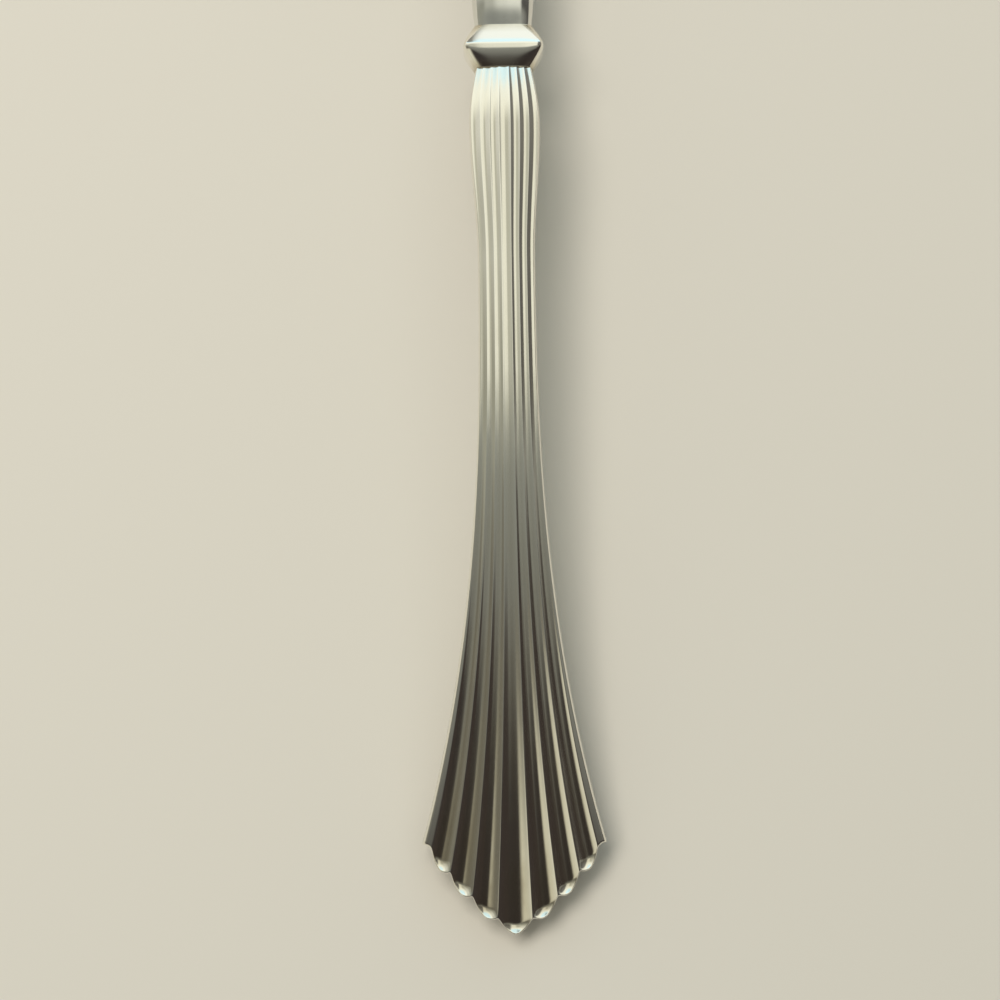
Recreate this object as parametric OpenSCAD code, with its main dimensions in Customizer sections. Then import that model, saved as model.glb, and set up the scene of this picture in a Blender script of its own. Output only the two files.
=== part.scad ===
// Slotted serving spoon with a fluted hollow handle that opens into a scalloped fan.
// It lies on a table: +Z is up, and +Y runs from the handle's tip to the bowl's tip.
// All lengths are millimetres. In the comments, s is the distance along +Y from the handle's tip.

/* [Handle outline] */
// Length of the fluted handle, from its tip to the ring
handle_l = 115.5; // [108:0.5:122]
// Width across the corners of the fan
fan_w = 25; // [23:0.2:27]
// How far the fan's corners lie behind its tip
fan_corner = 12.3; // [10.9:0.2:13.7]
// Power of the fan's flare, where a higher one opens later
fan_flare = 2.5; // [2.2:0.05:2.8]
// Width at the waist
waist_w = 7.6; // [7.2:0.1:8.4]
// Distance of the waist from the ring
waist_back = 25; // [21:1:29]
// Greatest width of the shoulder beside the ring
shoulder_w = 9.4; // [8.9:0.1:10]
// Distance of the shoulder's greatest width from the ring
shoulder_back = 7.4; // [6:0.1:9]
// Width of the handle's mouth, where it meets the ring
mouth_w = 7.5; // [7.2:0.1:7.6]

/* [Handle depth] */
// Thickness of the handle at the fan's corners
fan_t = 5; // [4.7:0.1:5.6]
// Thickness at the waist
waist_t = 5.2; // [5:0.1:6]
// Greatest thickness of the shoulder
shoulder_t = 6.2; // [5.8:0.1:6.8]
// Thickness of the handle's mouth
mouth_t = 4.8; // [4.7:0.1:5]
// How far the arch across the fan falls at its edges, as a share of its height
fan_arch = 0.5; // [0.4:0.01:0.54]
// How far the arch across the waist falls at its edges
waist_arch = 0.25; // [0.18:0.01:0.32]
// Radius with which the sides round in to the seam
side_r = 0.3; // [0.2:0.05:0.5]
// Thickness of the struck sheet of the two shells
wall = 0.6; // [0.5:0.05:0.65]
// Angle at which the handle leaves the table at its tip
tip_angle = 12; // [10:1:15]
// Angle at which the handle comes down to the ring
mouth_angle = 8; // [6:1:10]

/* [Flutes] */
// Number of flutes across the handle
flute_count = 7; // [5, 7, 9]
// Width of the centre flute, where 1 is the width of any other
centre_flute = 1.25; // [1:0.05:1.5]
// Width of the plain rib along each edge, at the fan's corners
fan_rib = 1.3; // [1:0.05:1.6]
// Width of that rib at the waist
waist_rib = 0.1; // [0.08:0.02:0.3]
// Depth of a flute at the fan's corners
fan_groove = 0.7; // [0.55:0.05:0.85]
// Depth of a flute at the waist
waist_groove = 0.13; // [0.1:0.01:0.18]
// Power of a flute's section, where a higher one has a flatter floor
flute_power = 2; // [2:0.1:3]
// Roundness of the point in the middle of the scalloped end
end_round = 0.12; // [0.08:0.02:0.24]
// How far each lobe of the scalloped end stands out
scallop = 1.15; // [0.8:0.05:1.5]
// How far the ends of the edge ribs stand out beyond the curve of the end
rib_out = 0.85; // [0.5:0.05:1.2]
// Radius of the rounded rim along the scalloped end
rim_r = 0.5; // [0.4:0.05:0.8]
// Length over which a flute's floor rises to the rim
scoop_l = 1.4; // [1.2:0.1:2]
// Width of the soldered land behind the scalloped end
tip_land = 3; // [2.6:0.1:4]

/* [Ring] */
// Greatest width of the ring
ring_w = 10.6; // [9.8:0.1:11.4]
// Greatest thickness of the ring
ring_t = 7; // [6.4:0.1:7.8]
// Length of the ring along the handle
ring_l = 5.8; // [5:0.1:6.6]
// Width of the ring's two end faces
ring_end_w = 7.7; // [7.6:0.1:8.2]
// Thickness of the ring's two end faces
ring_end_t = 4.8; // [4.7:0.1:5.2]
// Roundness of the edge in the middle of the ring
ring_round = 0.3; // [0.2:0.05:0.6]

/* [Neck and tang] */
// Width of the neck's seat on the ring
neck_w = 7.5; // [7:0.1:7.6]
// Thickness of the neck's seat on the ring
neck_t = 4.7; // [4.3:0.1:4.8]
// Greatest width of the neck
neck_bulb_w = 8.3; // [7.8:0.1:9]
// Greatest thickness of the neck
neck_bulb_t = 6.6; // [6:0.1:7.2]
// Distance of the neck's greatest width from the ring
neck_bulb_at = 5; // [4:0.5:7]
// Length of the neck, from the ring to the bowl
neck_l = 20; // [16:1:26]
// How far the ring's seat lies above the bowl's rim
neck_drop = 1.6; // [1:0.1:2.4]
// Width of the shank where the bowl begins
shank_w = 6.4; // [5.6:0.1:7.2]
// Thickness of the shank where the bowl begins
shank_t = 3.2; // [2.6:0.1:3.8]
// Length of the tang inside the handle
tang_l = 42; // [30:1:46]
// Width of the tang
tang_w = 3.4; // [3:0.1:3.8]
// Thickness of the tang
tang_t = 2; // [1.6:0.1:2.2]

/* [Bowl] */
// Length of the bowl
bowl_l = 74; // [66:1:82]
// Width of the bowl, at the middle of its wall
bowl_w = 46; // [40:1:52]
// Depth of the bowl below its rim, at the middle of its wall
bowl_depth = 11; // [9:0.5:13]
// Thickness of the bowl's wall
bowl_t = 1.8; // [1.4:0.1:2.2]
// Distance of the bowl's widest place from the shank
bowl_wide_at = 40; // [36:1:44]
// How far the bowl's tip rises above its rim at the shank
lip_rise = 1.2; // [0.4:0.2:2]
// Power of the dish across the bowl, where a higher one has a flatter floor
dish = 2.3; // [2:0.1:2.6]

/* [Slots] */
// Number of slots
slot_count = 5; // [3, 5]
// Width of a slot
slot_w = 3.2; // [2.6:0.1:3.6]
// Distance between the centres of neighbouring slots
slot_pitch = 6.6; // [6:0.1:7]
// Length of the oval field that the slots fill
slot_field_l = 40; // [34:1:42]
// Width of the oval field that the slots fill
slot_field_w = 34; // [32:1:36]

/* [Fits] */
// Clearance round the tang in the ring's bore
bore_clear = 0.1; // [0.05:0.05:0.2]
// Gap between the cement and the shells
cement_gap = 0.2; // [0.1:0.05:0.25]
// Clearance round the tang in the cement
tang_clear = 0.05; // [0.02:0.01:0.1]
// Distance of the cement's far end from the handle's tip
cement_tip = 26; // [24:1:40]

/* [Hidden] */
$fn = 96;

// Steps of the lofted surfaces
flute_steps = 4;
rib_steps = 3;
handle_rows = 36;
loop_points = 28;
ring_rows = 8;
tang_rows = 8;
neck_rows = 10;
heel_rows = 14;
lip_rows = 11;
cement_rows = 12;

// Squareness of the sections, where 2 is an ellipse and a higher one is closer to a box
ring_square = 8;
neck_square = 3;
shank_square = 4;
rim_square = 6;
tang_square = 8;

// Powers of the bowl's opening along its heel and of its depth, and of the handle's change of thickness
heel_warp = 0.8;
depth_power = 1.8;
depth_flare = 1.2;
// Shares of the heel over which the wall thins, and over which its edges turn to the rim's
thin_by = 0.625;
square_by = 0.5;
// Last turn of the bowl's lip, just short of the point where it would close
lip_end = 88.5;
// Power that draws the handle's rows towards its scalloped end
row_power = 1.3;
// Radius inside the shells' edges, and the cement's share of the width between them
side_r_in = side_r / 2;
cement_share = 0.85;
// How far a flute's end wall bends with the outline of its lobe, as a share
wall_bend = 0.5;
// How far the slots' cutters reach past the bowl
cut_over = 1;

// Places along the spoon
waist_s = handle_l - waist_back;
shoulder_s = handle_l - shoulder_back;
ring_top_s = handle_l + ring_l * cos(mouth_angle);
heel_s = ring_top_s + neck_l;
spoon_l = heel_s + bowl_l;

function mix(a, b, t) = a + (b - a) * t;
function ease(t) = let (c = max(0, min(1, t))) c * c * (3 - 2 * c);
function round_in(t) = sqrt(max(0, 1 - pow(1 - min(1, t), 2)));
// A V with a rounded point, which rises from 0 in its middle to 1 at t = -1 and t = 1
function vee(t, point) = (norm([t, point]) - point) / (norm([1, point]) - point);
// Share of the thickness at a share a of the width, with edges rounded by the squareness k
function rounded(a, k) = pow(max(0, 1 - pow(abs(a), k)), 1 / k);

// Cubic between two heights with a slope at each end, and its derivative, for t from 0 to 1
function cubic(t, z0, m0, z1, m1) =
  z0 * (2 * t ^ 3 - 3 * t ^ 2 + 1) + m0 * (t ^ 3 - 2 * t ^ 2 + t)
  + z1 * (3 * t ^ 2 - 2 * t ^ 3) + m1 * (t ^ 3 - t ^ 2);
function cubic_slope(t, z0, m0, z1, m1) =
  (z0 - z1) * (6 * t ^ 2 - 6 * t) + m0 * (3 * t ^ 2 - 4 * t + 1) + m1 * (3 * t ^ 2 - 2 * t);

// A point x to the side of the spine and h off it, on the section at s
function place(x, h, s, z, angle) = [x, s - h * sin(angle) - spoon_l / 2, z + h * cos(angle)];

// Triangles between two rows of points: a and b are neighbours in one row, c and d in the next
function quad(a, b, c, d) = [[a, b, c], [a, c, d]];
function flipped(faces) = [for (f = faces) [f[0], f[2], f[1]]];

// Bowl

function heel_flare(v) = (1 - cos(180 * pow(v, heel_warp))) / 2;
function rim_rise(s) = lip_rise * pow(s / bowl_l, 2);

// One row across the bowl: [s, half width, depth, thickness, squareness, height of the rim above the heel]
function heel_row(v) =
  let (share = heel_flare(v), s = v * bowl_wide_at)
  [heel_s + s, mix(shank_w, bowl_w, share) / 2, bowl_depth * pow(share, depth_power),
   mix(shank_t, bowl_t, ease(v / thin_by)), mix(shank_square, rim_square, ease(v / square_by)), rim_rise(s)];
function lip_row(turn) =
  let (s = mix(bowl_wide_at, bowl_l, sin(turn)))
  [heel_s + s, bowl_w / 2 * cos(turn), bowl_depth * pow(cos(turn), 2),
   bowl_t * rounded(sin(turn), rim_square), rim_square, rim_rise(s)];
bowl_rows = concat(
  [for (i = [0:heel_rows]) heel_row(i / heel_rows)],
  [for (i = [1:lip_rows]) lip_row(lip_end * i / lip_rows)]
);
// A closed section: a dished strip of half width b, depth d and thickness t, whose edges are rounded by k
function section(b, d, t, k) = [
  for (m = [0:loop_points - 1])
    let (
      turn = 360 * (m + 0.5) / loop_points,
      a = -cos(turn) / cos(180 / loop_points),
      half = sign(sin(turn)) * t / 2 * rounded(cos(turn), k),
      lean = atan(d * dish * pow(abs(a), dish - 1) * sign(a) / b)
    )
    [b * a - half * sin(lean), half * cos(lean) - d * (1 - pow(abs(a), dish))]
];
function bowl_section(row) = section(row[1], row[2], row[3], row[4]);
// The rim's height at the heel, which sets the bowl's underside on the table
rim_z = max([for (row = bowl_rows) -min([for (p = bowl_section(row)) p[1]]) - row[5]]);

// Handle

mouth_z = rim_z + neck_drop;
tip_slope = handle_l * tan(tip_angle);
mouth_slope = -handle_l * tan(mouth_angle);
// Height and slope of the seam between the shells, given the seam's height at the tip
function seam_z(s, tip_z) = cubic(s / handle_l, tip_z, tip_slope, mouth_z, mouth_slope);
function seam_angle(s, tip_z) =
  atan(cubic_slope(s / handle_l, tip_z, tip_slope, mouth_z, mouth_slope) / handle_l);

// A size along the handle, from its values at the fan, the waist, the shoulder and the mouth
function along(s, fan, waist, shoulder, mouth, flare) =
  s > shoulder_s ? mix(mouth, shoulder, sin(90 * (handle_l - s) / shoulder_back))
  : s > waist_s ? mix(waist, shoulder, ease((s - waist_s) / (shoulder_s - waist_s)))
  : mix(waist, fan, pow((waist_s - s) / (waist_s - fan_corner), flare));
function half_w(s) = along(s, fan_w, waist_w, shoulder_w, mouth_w, fan_flare) / 2;
function half_t(s) = along(s, fan_t, waist_t, shoulder_t, mouth_t, depth_flare) / 2;
// How far the handle has opened, from 0 at the waist to 1 at the fan's corners
function spread(s) = max(0, (2 * half_w(s) - waist_w) / (fan_w - waist_w));
function groove(s) = mix(waist_groove, fan_groove, spread(s));
function rib(s) = mix(waist_rib, fan_rib, spread(s));

// At the fan's corners, ridges lie at shares u of the half width, with the edge ribs outside the last ones
rib_u = 1 - 2 * fan_rib / fan_w;
flute_u = 2 * rib_u / (flute_count - 1 + centre_flute);
function ridge_u(k) = -rib_u + flute_u * (k + (k > flute_count / 2 ? centre_flute - 1 : 0));

// Columns of the handle's surface: [share of the half width, place in its flute from 0 to 1, flute's middle]
columns = concat(
  [for (i = [0:rib_steps - 1]) [-mix(rib_u, 1, cos(90 * i / rib_steps)), 0, 1]],
  [for (k = [0:flute_count - 1], i = [0:flute_steps - 1])
     let (from = ridge_u(k), to = ridge_u(k + 1))
     [mix(from, to, i / flute_steps), i / flute_steps, (from + to) / 2]],
  [for (i = [0:rib_steps]) [mix(rib_u, 1, sin(90 * i / rib_steps)), 0, 1]]
);
// Rows of the surface, as shares of the way from the scalloped end to the mouth, closest at both ends
rows = [for (i = [0:handle_rows]) (1 - cos(180 * pow(i / handle_rows, row_power))) / 2];

// Place of a column across a half width, where the flutes share what the edge ribs leave
function across(c, s, half) =
  sign(c[0]) * (min(abs(c[0]), rib_u) / rib_u * (half - rib(s))
                + max(0, abs(c[0]) - rib_u) / (1 - rib_u) * rib(s));
// Depth of the flute at a column, as a share of its greatest depth
function flute(c) = 1 - pow(abs(2 * c[1] - 1), flute_power);
// The curve through the tips of the lobes, and where the scalloped end lies at a column
function lobe_s(u) = (fan_corner - scallop + rib_out) * vee(u, end_round);
function end_s(c) =
  lobe_s(c[0]) + scallop * (1 - flute(c))
  - rib_out * pow(max(0, abs(c[0]) - rib_u) / (1 - rib_u), 2);
// How deep a flute is at s, as a share that falls in a scoop from its end wall
function scoop(c, s) =
  let (end_wall = mix(lobe_s(c[2]), end_s(c), wall_bend) + rim_r / 2)
  sin(90 * max(0, min(1, (s - end_wall) / scoop_l)));
// Height of the arch across the handle at a share u of the half width
function arch_h(s, u) = half_t(s) * (1 - mix(waist_arch, fan_arch, spread(s)) * u ^ 2);

// Height of a shell's outside over the seam, e behind the scalloped end
function outer_h(c, s, e) =
  let (half = half_w(s), x = across(c, s, half))
  (arch_h(s, x / half) * round_in((half - abs(x)) / side_r) - groove(s) * flute(c) * scoop(c, s))
  * round_in(e / rim_r);
// Height of its inside, e behind the soldered land
function inner_h(c, s, e) =
  let (half = half_w(s) - wall, x = across(c, s, half))
  (arch_h(s, x / half) - wall) * round_in((half - abs(x)) / side_r_in) * round_in(e / tip_land)
  - groove(s) * flute(c) * ease(e / tip_land);

// The seam's height at the tip, which rests the back of the fan on the table
tip_z = max([
  for (c = columns, f = rows)
    let (s = mix(end_s(c), handle_l, f), t = s / handle_l)
    if (s < 2 * fan_corner)
      (outer_h(c, s, s - end_s(c)) * cos(tip_angle) - seam_z(s, 0)) / (2 * t ^ 3 - 3 * t ^ 2 + 1)
]);
function on_seam(x, h, s) = place(x, h, s, seam_z(s, tip_z), seam_angle(s, tip_z));

function outer_point(c, f, side) =
  let (s = mix(end_s(c), handle_l, f))
  on_seam(across(c, s, half_w(s)), side * outer_h(c, s, s - end_s(c)), s);
function inner_point(c, f, side) =
  let (start = end_s(c) + tip_land, s = mix(start, handle_l, f))
  on_seam(across(c, s, half_w(s) - wall), side * inner_h(c, s, s - start), s);

// One shell of the handle, struck from sheet: side 1 is the front, and -1 the back
module shell(side) {
  n = len(rows);
  last_c = len(columns) - 1;
  last_r = n - 1;
  in0 = len(columns) * n;
  points = concat(
    [for (c = columns, f = rows) outer_point(c, f, side)],
    [for (c = columns, f = rows) inner_point(c, f, side)]
  );
  skin = [for (i = [0:last_c - 1], j = [0:last_r - 1])
    each quad(i * n + j, i * n + j + 1, (i + 1) * n + j + 1, (i + 1) * n + j)];
  lining = [for (f = flipped(skin)) [f[0] + in0, f[1] + in0, f[2] + in0]];
  ends = [for (i = [0:last_c - 1]) each concat(
    quad(i * n, (i + 1) * n, in0 + (i + 1) * n, in0 + i * n),
    quad((i + 1) * n + last_r, i * n + last_r, in0 + i * n + last_r, in0 + (i + 1) * n + last_r)
  )];
  right = last_c * n;
  sides = [for (j = [0:last_r - 1]) each concat(
    quad(j + 1, j, in0 + j, in0 + j + 1),
    quad(right + j, right + j + 1, in0 + right + j + 1, in0 + right + j)
  )];
  faces = concat(skin, lining, ends, sides);
  polyhedron(points, side > 0 ? faces : flipped(faces), convexity = 8);
}

// A solid lofted through closed loops of points, which all have the same count
module loft(loops) {
  n = len(loops[0]);
  skin = [for (j = [0:len(loops) - 2], m = [0:n - 1])
    let (q = (m + 1) % n) each quad(j * n + m, (j + 1) * n + m, (j + 1) * n + q, j * n + q)];
  start = [for (m = [0:n - 1]) m];
  finish = [for (m = [0:n - 1]) len(loops) * n - 1 - m];
  polyhedron([for (loop = loops) each loop], concat([start], skin, [finish]), convexity = 8);
}

// A flat section placed on the ring's axis, forward of the handle's mouth
function on_ring(loop, forward) = [
  let (s = handle_l + forward * cos(mouth_angle), z = mouth_z - forward * sin(mouth_angle))
    for (p = loop) place(p[0], p[1], s, z, -mouth_angle)
];

// The tang's section and its loops along the handle's seam, grown by a clearance
function tang_section(grow) = section(tang_w / 2 + grow, 0, tang_t + 2 * grow, tang_square);
function tang_loops(grow) = [
  for (i = [0:tang_rows])
    let (s = handle_l - (tang_l + grow) * (1 - i / tang_rows))
    [for (p = tang_section(grow)) on_seam(p[0], p[1], s)]
];

// The neck: oval on the ring, swelling to a bulb and settling to the shank
ring_top_z = mouth_z - ring_l * sin(mouth_angle);
function neck_size(y, seat, bulb, shank) =
  y < neck_bulb_at ? mix(seat, bulb, sin(90 * y / neck_bulb_at))
  : mix(bulb, shank, ease((y - neck_bulb_at) / (neck_l - neck_bulb_at)));
function neck_loop(t) =
  let (
    y = t * neck_l,
    slope = -neck_l * tan(mouth_angle),
    z = cubic(t, ring_top_z, slope, rim_z, 0),
    angle = atan(cubic_slope(t, ring_top_z, slope, rim_z, 0) / neck_l),
    half = neck_size(y, neck_w, neck_bulb_w, shank_w) / 2,
    thick = neck_size(y, neck_t, neck_bulb_t, shank_t),
    square = mix(neck_square, shank_square, ease(t))
  )
  [for (p = section(half, 0, thick, square)) place(p[0], p[1], ring_top_s + y, z, angle)];

// One pressed and forged piece: the tang, the neck and the slotted bowl
module slotted_bowl() {
  loops = concat(
    tang_loops(0),
    [on_ring(tang_section(0), ring_l)],
    [for (i = [0:neck_rows - 1]) neck_loop(i / neck_rows)],
    [for (row = bowl_rows) [for (p = bowl_section(row)) place(p[0], p[1], row[0], rim_z + row[5], 0)]]
  );
  color("silver")
    difference() {
      loft(loops);
      for (i = [0:slot_count - 1]) slot((i - (slot_count - 1) / 2) * slot_pitch);
    }
}

// A round-ended slot at x, as long as the oval field is there
module slot(x) {
  straight = slot_field_l * sqrt(1 - pow(2 * x / slot_field_w, 2)) - slot_w;
  translate([x, heel_s + bowl_wide_at - spoon_l / 2, -cut_over])
    linear_extrude(bowl_depth + bowl_t + lip_rise + 2 * cut_over) {
      square([slot_w, straight], center = true);
      for (end = [-1, 1]) translate([0, end * straight / 2]) circle(d = slot_w);
    }
}

// The ring between the neck and the handle: an oval band that swells to a soft edge, bored for the tang
module ring_collar() {
  bore_r = norm([tang_w, tang_t]) / 2 + bore_clear;
  // A size at the share v of the length, from -1 to 1: two slopes that meet in a rounded edge
  function swell(v, middle, end) = mix(middle, end, vee(v, ring_round));
  function loop(v) = section(swell(v, ring_w, ring_end_w) / 2, 0, swell(v, ring_t, ring_end_t), ring_square);
  color("gainsboro")
    difference() {
      loft([for (i = [0:ring_rows]) on_ring(loop(2 * i / ring_rows - 1), ring_l * i / ring_rows)]);
      translate(place(0, 0, handle_l, mouth_z, 0))
        rotate([-90 - mouth_angle, 0, 0])
          translate([0, 0, -cut_over]) cylinder(r = bore_r, h = ring_l + 2 * cut_over);
    }
}

module handle_front() {
  color("silver") shell(1);
}

module handle_back() {
  color("silver") shell(-1);
}

// The cement that fills the handle and grips the tang: its outside, and then the pocket for the tang
module handle_cement() {
  function half_h(a, s) = arch_h(s, cement_share * a) - wall - groove(s) - cement_gap;
  function loop(s) = [
    for (m = [0:loop_points - 1])
      let (turn = 360 * m / loop_points, a = -cos(turn))
      on_seam(a * cement_share * (half_w(s) - wall), sign(sin(turn)) * half_h(a, s), s)
  ];
  pocket = tang_loops(tang_clear);
  color("tan")
    loft(concat(
      [for (i = [0:cement_rows]) loop(mix(cement_tip, handle_l, i / cement_rows))],
      [for (i = [tang_rows:-1:0]) pocket[i]]
    ));
}

slotted_bowl();
ring_collar();
handle_front();
handle_back();
handle_cement();
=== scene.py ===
"""Slotted serving spoon: its looks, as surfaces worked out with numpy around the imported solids.

Sizes are millimetres until a mesh is made. s is the distance along the spoon from the handle's tip.
"""

import math

import bpy
import numpy as np
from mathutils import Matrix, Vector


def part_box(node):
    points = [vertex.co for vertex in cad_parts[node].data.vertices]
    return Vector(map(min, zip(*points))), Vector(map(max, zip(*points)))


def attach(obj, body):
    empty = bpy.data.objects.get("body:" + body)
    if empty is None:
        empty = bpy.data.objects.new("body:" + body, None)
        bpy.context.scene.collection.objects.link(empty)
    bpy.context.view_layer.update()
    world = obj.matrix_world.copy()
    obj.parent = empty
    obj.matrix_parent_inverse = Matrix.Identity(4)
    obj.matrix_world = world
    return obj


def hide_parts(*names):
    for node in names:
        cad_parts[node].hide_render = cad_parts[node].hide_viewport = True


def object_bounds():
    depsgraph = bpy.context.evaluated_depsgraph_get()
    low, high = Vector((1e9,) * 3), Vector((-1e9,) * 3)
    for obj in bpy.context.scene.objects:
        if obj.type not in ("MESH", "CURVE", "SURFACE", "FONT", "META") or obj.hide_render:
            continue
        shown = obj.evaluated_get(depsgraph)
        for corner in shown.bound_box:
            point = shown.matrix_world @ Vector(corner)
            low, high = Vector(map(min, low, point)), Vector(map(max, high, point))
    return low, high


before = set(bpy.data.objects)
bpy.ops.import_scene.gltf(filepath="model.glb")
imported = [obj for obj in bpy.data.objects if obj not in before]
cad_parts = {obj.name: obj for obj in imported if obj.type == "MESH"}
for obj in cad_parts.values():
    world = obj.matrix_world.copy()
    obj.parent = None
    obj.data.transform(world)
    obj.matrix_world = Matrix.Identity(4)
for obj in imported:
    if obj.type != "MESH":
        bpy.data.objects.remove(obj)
cad_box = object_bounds()

MM = 0.001


def box_mm(node):
    """Lowest and highest corner of a solid, in millimetres."""
    return [np.array(corner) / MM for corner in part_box(node)]


front_low, front_high = box_mm("handle_front")
ring_low, ring_high = box_mm("ring_collar")
bowl_low, bowl_high = box_mm("slotted_bowl")
ring_centre = (ring_low + ring_high) / 2

# Ring
RING_W = ring_high[0] - ring_low[0]
RING_T = 7.0
RING_L = 5.8
RING_END_W = 7.7
RING_END_T = 4.8
RING_EDGE = 0.1
RING_SQUARE = 8
RING_END_SQUARE = 4
RING_ROUND = 0.3
BORE_D = 4.145

# Handle outline
MOUTH_ANGLE = math.radians(8)
TIP_ANGLE = math.radians(12)
SPOON_L = 2 * bowl_high[1]
HANDLE_L = ring_centre[1] + SPOON_L / 2 - RING_L / 2 * math.cos(MOUTH_ANGLE)
FAN_W = front_high[0] - front_low[0]
FAN_CORNER = 12.3
FAN_FLARE = 2.5
WAIST_W = 7.6
WAIST_S = HANDLE_L - 25
SHOULDER_W = 9.4
SHOULDER_BACK = 7.4
SHOULDER_S = HANDLE_L - SHOULDER_BACK
MOUTH_W = 7.5

# Handle depth
MOUTH_Z = ring_centre[2] + RING_L / 2 * math.sin(MOUTH_ANGLE)
FAN_T = 5.0
WAIST_T = 5.2
SHOULDER_T = 6.2
MOUTH_T = 4.8
DEPTH_FLARE = 1.2
FAN_ARCH = 0.5
WAIST_ARCH = 0.25
SIDE_R = 0.3
SIDE_R_IN = 0.15
WALL = 0.6
SEAM_DIP = 0.05
SEAM_REACH = 0.14

# Flutes
FLUTES = 7
CENTRE_FLUTE = 1.25
FAN_RIB = 1.3
WAIST_RIB = 0.1
FAN_GROOVE = 0.7
WAIST_GROOVE = 0.13
FLUTE_POWER = 2
RIDGE_ROUND = 0.04
END_ROUND = 0.12
SCALLOP = 1.15
RIB_OUT = 0.85
RIM_R = 0.5
SCOOP_L = 1.4
WALL_BEND = 0.5
TIP_LAND = 3.0
RIB_U = 1 - 2 * FAN_RIB / FAN_W

# Neck and tang
NECK_W = 7.5
NECK_T = 4.7
NECK_BULB_W = 8.3
NECK_BULB_T = 6.6
NECK_BULB_AT = 5.0
NECK_L = 20.0
NECK_DROP = 1.6
NECK_SQUARE = 3
SHANK_W = 6.4
SHANK_T = 3.2
TANG_L = 42.0
TANG_W = 3.4
TANG_T = 2.0
TANG_SQUARE = 8

# Bowl
RING_TOP_S = HANDLE_L + RING_L * math.cos(MOUTH_ANGLE)
RING_TOP_Z = MOUTH_Z - RING_L * math.sin(MOUTH_ANGLE)
HEEL_S = RING_TOP_S + NECK_L
BOWL_L = SPOON_L - HEEL_S
BOWL_W = 46.0
BOWL_DEPTH = 11.0
BOWL_T = 1.8
BOWL_WIDE_AT = 40.0
BOWL_LIP = BOWL_L - BOWL_WIDE_AT
RIM_Z = MOUTH_Z - NECK_DROP
LIP_RISE = 1.2
LIP_END = math.radians(89.8)
DISH = 2.3
HEEL_WARP = 0.8
DEPTH_POWER = 1.8
RIM_SQUARE = 6
SHANK_SQUARE = 4
THIN_BY = 0.625
SQUARE_BY = 0.5
PLUMB_TO = 0.78
SQUARE_FROM = 0.95

# Slots
SLOTS = 5
SLOT_W = 3.2
SLOT_PITCH = 6.6
SLOT_FIELD_L = 40.0
SLOT_FIELD_W = 34.0
SLOT_EDGE = 0.25

# Tarnish: its share where the flutes are shallow, and the share of the ring's half length it starts at
SHALLOW_TARNISH = 0.3
RING_TARNISH_FROM = 0.5

# Steps of the surfaces, and how their points are joined
FLUTE_STEPS = 20
RIDGE_CROWD = 0.75
RIB_STEPS = 12
HANDLE_ROWS = 240
BOWL_COLUMNS = 145
TANG_ROWS = 14
NECK_ROWS = 50
HEEL_ROWS = 120
LIP_ROWS = 90
RING_TURNS = 192
ARC_STEPS = 41
EDGE_STEPS = 5
SHARP_ANGLE = math.radians(60)
WELD = 0.001
TINY = 1e-9


def mix(a, b, t):
    """The value that lies a share t of the way from a to b."""
    return a + (b - a) * t


def ease(t):
    """Smooth step from 0 to 1 with no slope at either end."""
    t = np.clip(t, 0, 1)
    return t * t * (3 - 2 * t)


def round_in(t):
    """Quarter circle that rises steeply from 0 and levels off at 1."""
    return np.sqrt(np.clip(1 - (1 - np.minimum(1, t)) ** 2, 0, 1))


def vee(t, point):
    """A V with a rounded point, which rises from 0 in its middle to 1 at t = -1 and t = 1."""
    return (np.hypot(t, point) - point) / (math.hypot(1, point) - point)


def cubic(t, z0, m0, z1, m1):
    """Cubic between two heights with a slope at each end."""
    return (z0 * (2 * t**3 - 3 * t**2 + 1) + m0 * (t**3 - 2 * t**2 + t)
            + z1 * (3 * t**2 - 2 * t**3) + m1 * (t**3 - t**2))


def cubic_slope(t, z0, m0, z1, m1):
    """Slope of that cubic."""
    return ((z0 - z1) * (6 * t**2 - 6 * t) + m0 * (3 * t**2 - 4 * t + 1)
            + m1 * (3 * t**2 - 2 * t))


def place(x, h, s, z, angle):
    """Points x to the side of a spine and h off it, on sections that lean by an angle at s."""
    y = s - h * np.sin(angle) - SPOON_L / 2
    return np.stack(np.broadcast_arrays(x, y, z + h * np.cos(angle)), -1)


# Meshes


def grid_quads(number):
    """Quads between neighbours in a grid of point numbers, facing up where rows run +Y and columns +X."""
    return np.stack([number[:-1, :-1], number[:-1, 1:], number[1:, 1:], number[1:, :-1]], -1)


def add_object(name, data):
    """A new object in the scene that holds a mesh, a lamp or a camera."""
    thing = bpy.data.objects.new(name, data)
    bpy.context.scene.collection.objects.link(thing)
    return thing


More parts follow.
